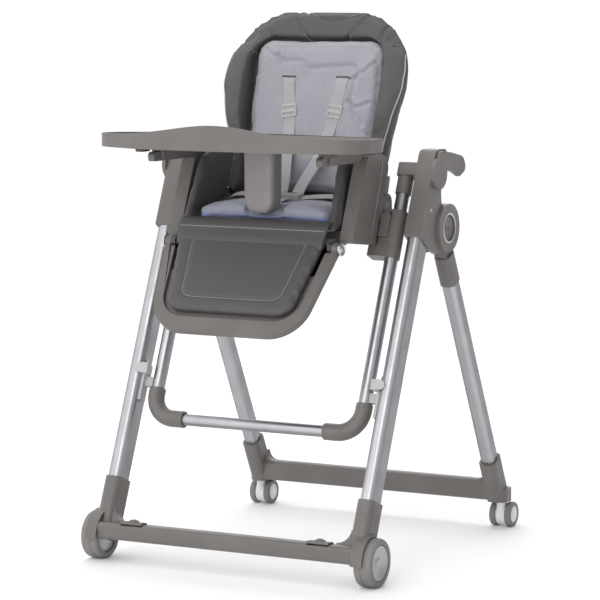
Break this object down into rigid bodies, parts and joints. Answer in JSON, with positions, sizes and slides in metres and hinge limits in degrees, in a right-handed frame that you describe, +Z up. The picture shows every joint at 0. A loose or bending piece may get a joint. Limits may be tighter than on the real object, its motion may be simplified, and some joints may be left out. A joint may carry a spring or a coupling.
{
  "type": "baby high chair",
  "caption": "Foldable wheeled baby high chair with a padded reclining bucket seat, footrest, sliding tray with liner, harness, and an aluminium A-frame on wheels.",
  "frame": {"origin": "on the floor, at the bottom centre of the bounding box", "axes": "+Z up, -Y towards the front of the chair (the way the child faces), +X towards the viewer's right when facing the chair from its front; the chair is symmetrical about X = 0"},
  "size_m": [0.61, 0.737, 1.0291],
  "materials": {
    "grey_plastic": "satin, fine moulded grain",
    "liner_plastic": "smooth satin",
    "light_plastic": "satin",
    "pale_plastic": "satin",
    "leatherette": "fine-grained coated cloth with tonal double stitching",
    "pad_fabric": "soft woven cotton, quilted",
    "webbing": "flat woven webbing",
    "aluminium_tube": "satin anodised",
    "steel": "brushed",
    "silver_hub": "silver lacquer on plastic",
    "grey_tyre": "smooth rubber"
  },
  "bodies": {
    "frame": {"front_base": "grey_plastic", "housing_screws": "steel", "guide_cross_tube": "aluminium_tube", "guide_brackets": "grey_plastic", "guide_clips": "light_plastic", "front_leg_lower_right": "aluminium_tube", "front_leg_upper_right": "aluminium_tube", "leg_housing_right": "grey_plastic", "guide_tube_right": "aluminium_tube", "guide_elbow_right": "grey_plastic", "front_leg_lower_left": "aluminium_tube", "front_leg_upper_left": "aluminium_tube", "leg_housing_left": "grey_plastic", "guide_tube_left": "aluminium_tube", "guide_elbow_left": "grey_plastic"},
    "rear_frame": {"rear_base": "grey_plastic", "rear_leg_upper_right": "aluminium_tube", "rear_leg_lower_right": "aluminium_tube", "rear_leg_socket_right": "grey_plastic", "rear_leg_upper_left": "aluminium_tube", "rear_leg_lower_left": "aluminium_tube", "rear_leg_socket_left": "grey_plastic"},
    "seat": {"seat_shell": "grey_plastic", "seat_cover": "leatherette", "seat_pad": "pad_fabric", "harness_straps": "webbing", "harness_buckle": "light_plastic", "footrest_caps": "steel", "seat_side_right": "grey_plastic", "slider_right": "grey_plastic", "seat_side_left": "grey_plastic", "slider_left": "grey_plastic"},
    "backrest": {"strap_adjusters": "light_plastic", "backrest_shell": "grey_plastic", "backrest_cover": "leatherette", "back_pad": "pad_fabric"},
    "footrest": {"footrest_frame": "grey_plastic", "footrest_pad": "leatherette"},
    "tray_body": {"tray": "grey_plastic", "crotch_post": "grey_plastic"},
    "liner": {"tray_insert": "liner_plastic"},
    "buckle_release": {"buckle_button": "light_plastic"},
    "lever_right": {"fold_lever_right": "grey_plastic"},
    "release_right": {"hub_button_right": "grey_plastic"},
    "height_button_right": {"slider_button_right": "grey_plastic"},
    "latch_right": {"tray_latch_right": "grey_plastic"},
    "brake_right": {"brake_pedal_right": "grey_plastic"},
    "wheel_right": {"front_wheel_tyre_right": "grey_tyre", "front_wheel_hub_right": "silver_hub"},
    "caster_right": {"caster_hood_right": "pale_plastic"},
    "caster_pair_right": {"caster_wheels_right": "grey_tyre"},
    "lever_left": {"fold_lever_left": "grey_plastic"},
    "release_left": {"hub_button_left": "grey_plastic"},
    "height_button_left": {"slider_button_left": "grey_plastic"},
    "latch_left": {"tray_latch_left": "grey_plastic"},
    "brake_left": {"brake_pedal_left": "grey_plastic"},
    "wheel_left": {"front_wheel_tyre_left": "grey_tyre", "front_wheel_hub_left": "silver_hub"},
    "caster_left": {"caster_hood_left": "pale_plastic"},
    "caster_pair_left": {"caster_wheels_left": "grey_tyre"}
  },
  "joints": [
    {"name": "rear_leg_fold", "type": "hinge", "parent": "frame", "child": "rear_frame", "pos_m": [0, 0.0299, 0.627], "axis": [-1, 0, 0], "range_deg": [0, 42]},
    {"name": "seat_height", "type": "slide", "parent": "frame", "child": "seat", "axis": [0, 0.3939, 0.9191], "range_m": [-0.2, 0.03]},
    {"name": "backrest_recline", "type": "hinge", "parent": "seat", "child": "backrest", "pos_m": [0, 0.0155, 0.668], "axis": [-1, 0, 0], "range_deg": [0, 30]},
    {"name": "footrest_tilt", "type": "hinge", "parent": "seat", "child": "footrest", "pos_m": [0, -0.2135, 0.603], "axis": [-1, 0, 0], "range_deg": [-20, 40]},
    {"name": "tray_slide", "type": "slide", "parent": "seat", "child": "tray_body", "axis": [0, -1, 0], "range_m": [0, 0.08]},
    {"name": "liner_lift", "type": "slide", "parent": "tray_body", "child": "liner", "axis": [0, 0, 1], "range_m": [0, 0.06]},
    {"name": "buckle_press", "type": "slide", "parent": "seat", "child": "buckle_release", "axis": [0, 0, -1], "range_m": [0, 0.004], "stiffness_N_per_m": 300},
    {"name": "fold_lever_turn_right", "type": "hinge", "parent": "frame", "child": "lever_right", "pos_m": [0.287, -0.01391, 0.73268], "axis": [1, 0, 0], "range_deg": [0, 25], "stiffness_Nm_per_rad": 1.2},
    {"name": "hub_press_right", "type": "slide", "parent": "frame", "child": "release_right", "axis": [-1, 0, 0], "range_m": [0, 0.0035], "stiffness_N_per_m": 400},
    {"name": "height_press_right", "type": "slide", "parent": "seat", "child": "height_button_right", "axis": [0, 0.9191, -0.3939], "range_m": [0, 0.004], "stiffness_N_per_m": 400},
    {"name": "latch_press_right", "type": "slide", "parent": "tray_body", "child": "latch_right", "axis": [-1, 0, 0], "range_m": [0, 0.006], "stiffness_N_per_m": 300},
    {"name": "brake_press_right", "type": "hinge", "parent": "frame", "child": "brake_right", "pos_m": [0.196, -0.3125, 0.0734], "axis": [1, 0, 0], "range_deg": [0, 12], "stiffness_Nm_per_rad": 0.15},
    {"name": "wheel_spin_right", "type": "hinge", "parent": "frame", "child": "wheel_right", "pos_m": [0.287, -0.2935, 0.045], "axis": [1, 0, 0], "continuous": true},
    {"name": "caster_swivel_right", "type": "hinge", "parent": "rear_frame", "child": "caster_right", "pos_m": [0.273, 0.3295, 0.05], "axis": [0, 0, 1], "continuous": true},
    {"name": "caster_roll_right", "type": "hinge", "parent": "caster_right", "child": "caster_pair_right", "pos_m": [0.273, 0.3435, 0.025], "axis": [1, 0, 0], "continuous": true},
    {"name": "fold_lever_turn_left", "type": "hinge", "parent": "frame", "child": "lever_left", "pos_m": [-0.287, -0.01391, 0.73268], "axis": [1, 0, 0], "range_deg": [0, 25], "stiffness_Nm_per_rad": 1.2},
    {"name": "hub_press_left", "type": "slide", "parent": "frame", "child": "release_left", "axis": [1, 0, 0], "range_m": [0, 0.0035], "stiffness_N_per_m": 400},
    {"name": "height_press_left", "type": "slide", "parent": "seat", "child": "height_button_left", "axis": [0, 0.9191, -0.3939], "range_m": [0, 0.004], "stiffness_N_per_m": 400},
    {"name": "latch_press_left", "type": "slide", "parent": "tray_body", "child": "latch_left", "axis": [1, 0, 0], "range_m": [0, 0.006], "stiffness_N_per_m": 300},
    {"name": "brake_press_left", "type": "hinge", "parent": "frame", "child": "brake_left", "pos_m": [-0.196, -0.3125, 0.0734], "axis": [1, 0, 0], "range_deg": [0, 12], "stiffness_Nm_per_rad": 0.15},
    {"name": "wheel_spin_left", "type": "hinge", "parent": "frame", "child": "wheel_left", "pos_m": [-0.287, -0.2935, 0.045], "axis": [1, 0, 0], "continuous": true},
    {"name": "caster_swivel_left", "type": "hinge", "parent": "rear_frame", "child": "caster_left", "pos_m": [-0.273, 0.3295, 0.05], "axis": [0, 0, 1], "continuous": true},
    {"name": "caster_roll_left", "type": "hinge", "parent": "caster_left", "child": "caster_pair_left", "pos_m": [-0.273, 0.3435, 0.025], "axis": [1, 0, 0], "continuous": true}
  ]
}
